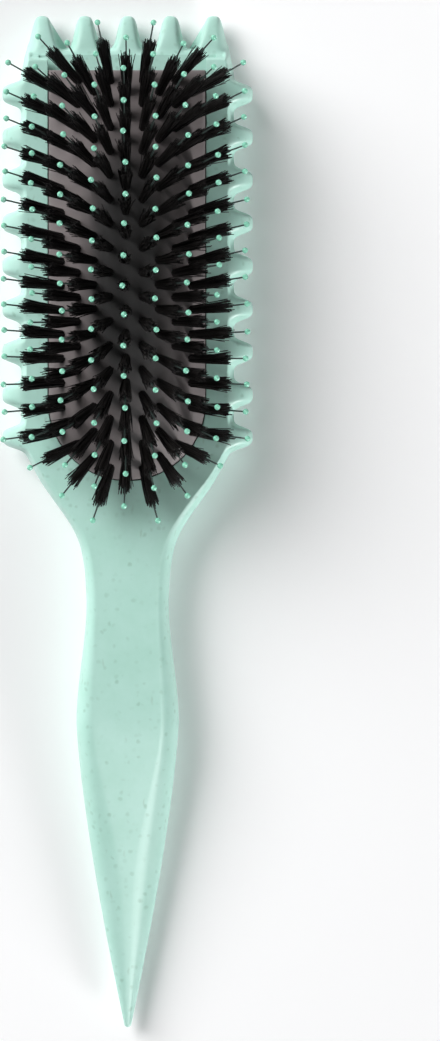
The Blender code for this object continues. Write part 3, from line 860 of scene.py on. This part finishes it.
def add_strand(mesh, root, tip, bow):
    """A three-sided filament from root to tip, in two lengths that meet in a slight bend."""
    line = tip - root
    turn = line.to_track_quat("Z", "Y").to_matrix().to_4x4()
    centre = Matrix.Translation(root + line * BEND_SHARE / 2) @ turn
    made = bmesh.ops.create_cone(
        mesh, cap_ends=True, segments=3, radius1=STRAND_RADIUS, radius2=STRAND_RADIUS,
        depth=line.length * BEND_SHARE, matrix=centre,
    )["verts"]
    end = next(face for face in made[-1].link_faces if len(face.verts) == 3)
    upper = bmesh.ops.extrude_discrete_faces(mesh, faces=[end])["faces"][0]
    middle = upper.calc_center_median()
    for vert in upper.verts:
        vert.co = tip + (vert.co - middle) * STRAND_TIP_RADIUS / STRAND_RADIUS + bow


print("a filament is", round(2 * STRAND_RADIUS * 1000, 2), "mm thick")

# %% One kind of tuft
STRANDS = 88
STRAND_LENGTH = 0.0123
STRAND_LENGTH_SPREAD = 0.0008
STRAND_ROOT = 0.0006
ROOT_SPREAD = 0.00095
TIP_SPREAD = 0.00155
SPLAY_SPREAD = 0.00024
TURN_SPREAD = 0.3


def tuft_kind(chance):
    """A tuft of filaments that stands at the origin and points up."""
    mesh = bmesh.new()
    golden = math.pi * (3 - math.sqrt(5))
    for i in range(STRANDS):
        out = math.sqrt((i + 0.5) / STRANDS)
        turn = i * golden + chance.uniform(-TURN_SPREAD, TURN_SPREAD)
        way = Vector((math.cos(turn), math.sin(turn), 0))
        splay = Vector((chance.gauss(0, SPLAY_SPREAD), chance.gauss(0, SPLAY_SPREAD), 0))
        length = STRAND_LENGTH - abs(chance.gauss(0, STRAND_LENGTH_SPREAD)) + STRAND_LENGTH_SPREAD / 2
        bow = Vector((chance.gauss(0, SPLAY_SPREAD), chance.gauss(0, SPLAY_SPREAD), 0))
        root = way * out * ROOT_SPREAD - Vector((0, 0, STRAND_ROOT))
        add_strand(mesh, root, way * out * TIP_SPREAD + splay + Vector((0, 0, length)), bow)
    return mesh


print(STRANDS, "filaments in a tuft and", STRANDS * len(tufts), "in all")

# %% A tuft in every place
TUFT_KINDS = 10
BRISTLE_SEED = 19


def tuft_bristles():
    """One mesh of all tufts, each a turned copy of one of the kinds."""
    chance = random.Random(BRISTLE_SEED)
    kinds = [tuft_kind(chance) for _ in range(TUFT_KINDS)]
    whole = bmesh.new()
    for place in tufts:
        one = kinds[chance.randrange(TUFT_KINDS)].copy()
        one.transform(place @ Matrix.Rotation(chance.uniform(0, math.tau), 4, "Z"))
        data = bpy.data.meshes.new("one_tuft")
        one.to_mesh(data)
        one.free()
        whole.from_mesh(data)
        bpy.data.meshes.remove(data)
    for kind in kinds:
        kind.free()
    return whole


finished("tuft_bristles", tuft_bristles(), black_nylon, "cartridge")

# %% [markdown]
# ## Ball-tipped pins
# Through the middle of each tuft stands one longer pin, a thicker nylon rod whose end is dipped into a mint
# coating until it carries a smooth drop. The rod keeps the tuft open and the drop slides over the scalp.
# Both could be spun from one profile, but their finishes differ, so a slim cone and a small ball are two
# pieces. Neither is more than a few pixels wide, so a few sides are enough.

# %% Pin nylon and ball coating
ROD_SHADE_SIZE = 0.002
DROP_SHADE_SIZE = 0.0012

pin_nylon, shader = new_material(
    "dark_nylon_rod", Metallic=0.0, IOR=1.53, Specular_IOR_Level=0.5, Roughness=0.38,
)
place = add_node(pin_nylon, "ShaderNodeTexCoord").outputs["Object"]
rod_shade = add_node(
    pin_nylon, "ShaderNodeTexNoise", {"Scale": per_size(ROD_SHADE_SIZE), "Detail": 1.0}, {"Vector": place},
)
rod_colour = add_node(
    pin_nylon, "ShaderNodeMix",
    {"data_type": "RGBA", "A": linear("2A3431"), "B": linear("3A4643")},
    {"Factor": rod_shade.outputs["Fac"]},
)
pin_nylon.node_tree.links.new(rod_colour.outputs[2], shader.inputs["Base Color"])

ball_coating, shader = new_material(
    "dipped_mint_coating", Metallic=0.0, IOR=1.5, Specular_IOR_Level=0.6, Roughness=0.16,
)
place = add_node(ball_coating, "ShaderNodeTexCoord").outputs["Object"]
drop_shade = add_node(
    ball_coating, "ShaderNodeTexNoise", {"Scale": per_size(DROP_SHADE_SIZE), "Detail": 1.0},
    {"Vector": place},
)
drop_colour = add_node(
    ball_coating, "ShaderNodeMix",
    {"data_type": "RGBA", "A": linear("7CC9AC"), "B": linear("93DBC1")},
    {"Factor": drop_shade.outputs["Fac"]},
)
ball_coating.node_tree.links.new(drop_colour.outputs[2], shader.inputs["Base Color"])
print("made", pin_nylon.name, "and", ball_coating.name)

# %% Pins and balls
PIN_LENGTH = 0.019
PIN_RADIUS = 0.00024
PIN_TIP_SHARE = 0.8
PIN_SIDES = 6
PIN_ROOT = 0.0008
BALL_RADIUS = 0.00074
BALL_SEGMENTS = 8
BALL_RINGS = 6


def pin_rods():
    mesh = bmesh.new()
    rod = PIN_LENGTH - BALL_RADIUS + PIN_ROOT
    for place in tufts:
        bmesh.ops.create_cone(
            mesh, cap_ends=True, segments=PIN_SIDES, radius1=PIN_RADIUS,
            radius2=PIN_RADIUS * PIN_TIP_SHARE, depth=rod,
            matrix=place @ Matrix.Translation((0, 0, rod / 2 - PIN_ROOT)),
        )
    return mesh


def pin_balls():
    mesh = bmesh.new()
    for place in tufts:
        bmesh.ops.create_uvsphere(
            mesh, u_segments=BALL_SEGMENTS, v_segments=BALL_RINGS, radius=BALL_RADIUS,
            matrix=place @ Matrix.Translation((0, 0, PIN_LENGTH - BALL_RADIUS)),
        )
    return mesh


finished("pin_rods", pin_rods(), pin_nylon, "cartridge")
finished("pin_balls", pin_balls(), ball_coating, "cartridge")

# %% [markdown]
# ## Tray of the cartridge
# The tray under the cushion is a plain plate of dark ABS. It could be modelled anew, but its CAD shape is
# right, so it stays and only gets its finish: the fine texture of a spark-eroded mould, which makes it
# dull. The real pits are finer than a pixel, so they are drawn at nearly half a millimetre.

# %% Dark moulded ABS
SPARK_SIZE = 0.0004
SPARK_DEPTH = 0.00005
FLOW_SIZE = 0.012

tray_abs, shader = new_material(
    "dark_moulded_abs", Metallic=0.0, IOR=1.54, Specular_IOR_Level=0.5,
)
place = add_node(tray_abs, "ShaderNodeTexCoord").outputs["Object"]
spark = add_node(
    tray_abs, "ShaderNodeTexNoise", {"Scale": per_size(SPARK_SIZE), "Detail": 3.0}, {"Vector": place},
)
flow = add_node(
    tray_abs, "ShaderNodeTexNoise", {"Scale": per_size(FLOW_SIZE), "Detail": 2.0}, {"Vector": place},
)
tray_colour = add_node(
    tray_abs, "ShaderNodeMix",
    {"data_type": "RGBA", "A": linear("232425"), "B": linear("303132")}, {"Factor": flow.outputs["Fac"]},
)
tray_dull = add_node(
    tray_abs, "ShaderNodeMapRange", {"To Min": 0.48, "To Max": 0.62}, {"Value": spark.outputs["Fac"]},
)
spark_bump = add_node(
    tray_abs, "ShaderNodeBump", {"Strength": 0.25, "Distance": SPARK_DEPTH},
    {"Height": spark.outputs["Fac"]},
)
tray_abs.node_tree.links.new(tray_colour.outputs[2], shader.inputs["Base Color"])
tray_abs.node_tree.links.new(tray_dull.outputs[0], shader.inputs["Roughness"])
tray_abs.node_tree.links.new(spark_bump.outputs[0], shader.inputs["Normal"])
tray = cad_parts["cartridge_tray"]
tray.data.materials.clear()
tray.data.materials.append(tray_abs)
print("tray finished in", tray_abs.name)

# %% [markdown]
# ## Floor, light and camera
# The brush lies on its back on white paper. A large soft lamp stands to the upper left. Satin plastic shows
# a faint mirror image of such a lamp, which at a low angle would bleach the front, so about half of the
# lamp's light comes from a twin that no reflection shows. A weaker low lamp to the lower right lights the
# walls that face it. A smaller one overhead is the opposite of the twin: it shows in reflections only, and
# draws the gleam along the tail. The paper keeps the shadow of the brush, and looks white because it also
# gives the camera a little light. The camera looks straight down, from near enough that the tall pins seem
# to spread.

# %% White paper floor
FLOOR_HALF = 3.0
FLOOR_GLOW = 0.05

paper, shader = new_material("white_paper", Metallic=0.0, Roughness=0.9, Specular_IOR_Level=0.1)
shader.inputs["Base Color"].default_value = linear("FCFCFD")
rays = add_node(paper, "ShaderNodeLightPath")
seen = add_node(
    paper, "ShaderNodeMath", {"operation": "MAXIMUM"},
    {0: rays.outputs["Is Camera Ray"], 1: rays.outputs["Is Glossy Ray"]},
)
glow_amount = add_node(
    paper, "ShaderNodeMath", {"operation": "MULTIPLY", 1: FLOOR_GLOW}, {0: seen.outputs[0]},
)
glow = add_node(
    paper, "ShaderNodeEmission", {"Color": linear("FFFFFF")}, {"Strength": glow_amount.outputs[0]},
)
both = add_node(paper, "ShaderNodeAddShader", {}, {0: shader.outputs[0], 1: glow.outputs[0]})
paper.node_tree.links.new(both.outputs[0], paper.node_tree.nodes["Material Output"].inputs["Surface"])

floor_mesh = bmesh.new()
bmesh.ops.create_grid(floor_mesh, x_segments=1, y_segments=1, size=FLOOR_HALF)
floor_data = bpy.data.meshes.new("paper_floor")
floor_mesh.to_mesh(floor_data)
floor_mesh.free()
floor_data.materials.append(paper)
floor = bpy.data.objects.new("paper_floor", floor_data)
bpy.context.scene.collection.objects.link(floor)
print("a floor", 2 * max(vert.co.x for vert in floor_data.vertices), "m wide")

# %% Lamps and world
HEAD_CENTRE = Vector((0, -0.01, 0.02))
KEY_PLACE = (-1.7, 1.2, 1.5)
SIDE_PLACE = (1.55, -1.6, 0.45)
STREAK_PLACE = (0.28, -0.46, 0.8)
WORLD_LIGHT = 0.06


def add_lamp(name, place, size, power):
    """A square soft white lamp that points at the brush."""
    lamp = bpy.data.lights.new(name, "AREA")
    lamp.shape = "SQUARE"
    lamp.size = size
    lamp.energy = power
    holder = bpy.data.objects.new(name, lamp)
    holder.location = place
    holder.rotation_euler = (HEAD_CENTRE - Vector(place)).to_track_quat("-Z", "Y").to_euler()
    bpy.context.scene.collection.objects.link(holder)
    print(name, power, "W,", round((HEAD_CENTRE - Vector(place)).length, 2), "m away")
    return holder


add_lamp("key_lamp", KEY_PLACE, size=2.1, power=46)
key_fill = add_lamp("key_fill", KEY_PLACE, size=1.8, power=56)
key_fill.visible_glossy = False
add_lamp("side_lamp", SIDE_PLACE, size=0.7, power=47)
streak_lamp = add_lamp("streak_lamp", STREAK_PLACE, size=0.5, power=6)
streak_lamp.visible_diffuse = False
world = bpy.data.worlds.new("studio_white")
bpy.context.scene.world = world
world.use_nodes = True
sky = world.node_tree.nodes["Background"]
sky.inputs["Color"].default_value = linear("FFFFFF")
sky.inputs["Strength"].default_value = WORLD_LIGHT

# %% Camera
IMAGE_HEIGHT = 1041
PIXELS_PER_METRE = 4052
CAMERA_DISTANCE = 0.87
RIM_HEIGHT = 0.006
VIEW_CENTRE = (0.0228, -0.0602)
SENSOR_WIDTH = 36

camera_data = bpy.data.cameras.new("camera")
half_view = IMAGE_HEIGHT / PIXELS_PER_METRE / 2
camera_data.sensor_width = SENSOR_WIDTH
camera_data.lens = SENSOR_WIDTH / 2 * CAMERA_DISTANCE / half_view
camera = bpy.data.objects.new("camera", camera_data)
camera.location = (*VIEW_CENTRE, RIM_HEIGHT + CAMERA_DISTANCE)
bpy.context.scene.collection.objects.link(camera)
bpy.context.scene.camera = camera
bpy.context.scene.view_settings.view_transform = "Standard"
print("lens", round(camera_data.lens, 1), "mm")
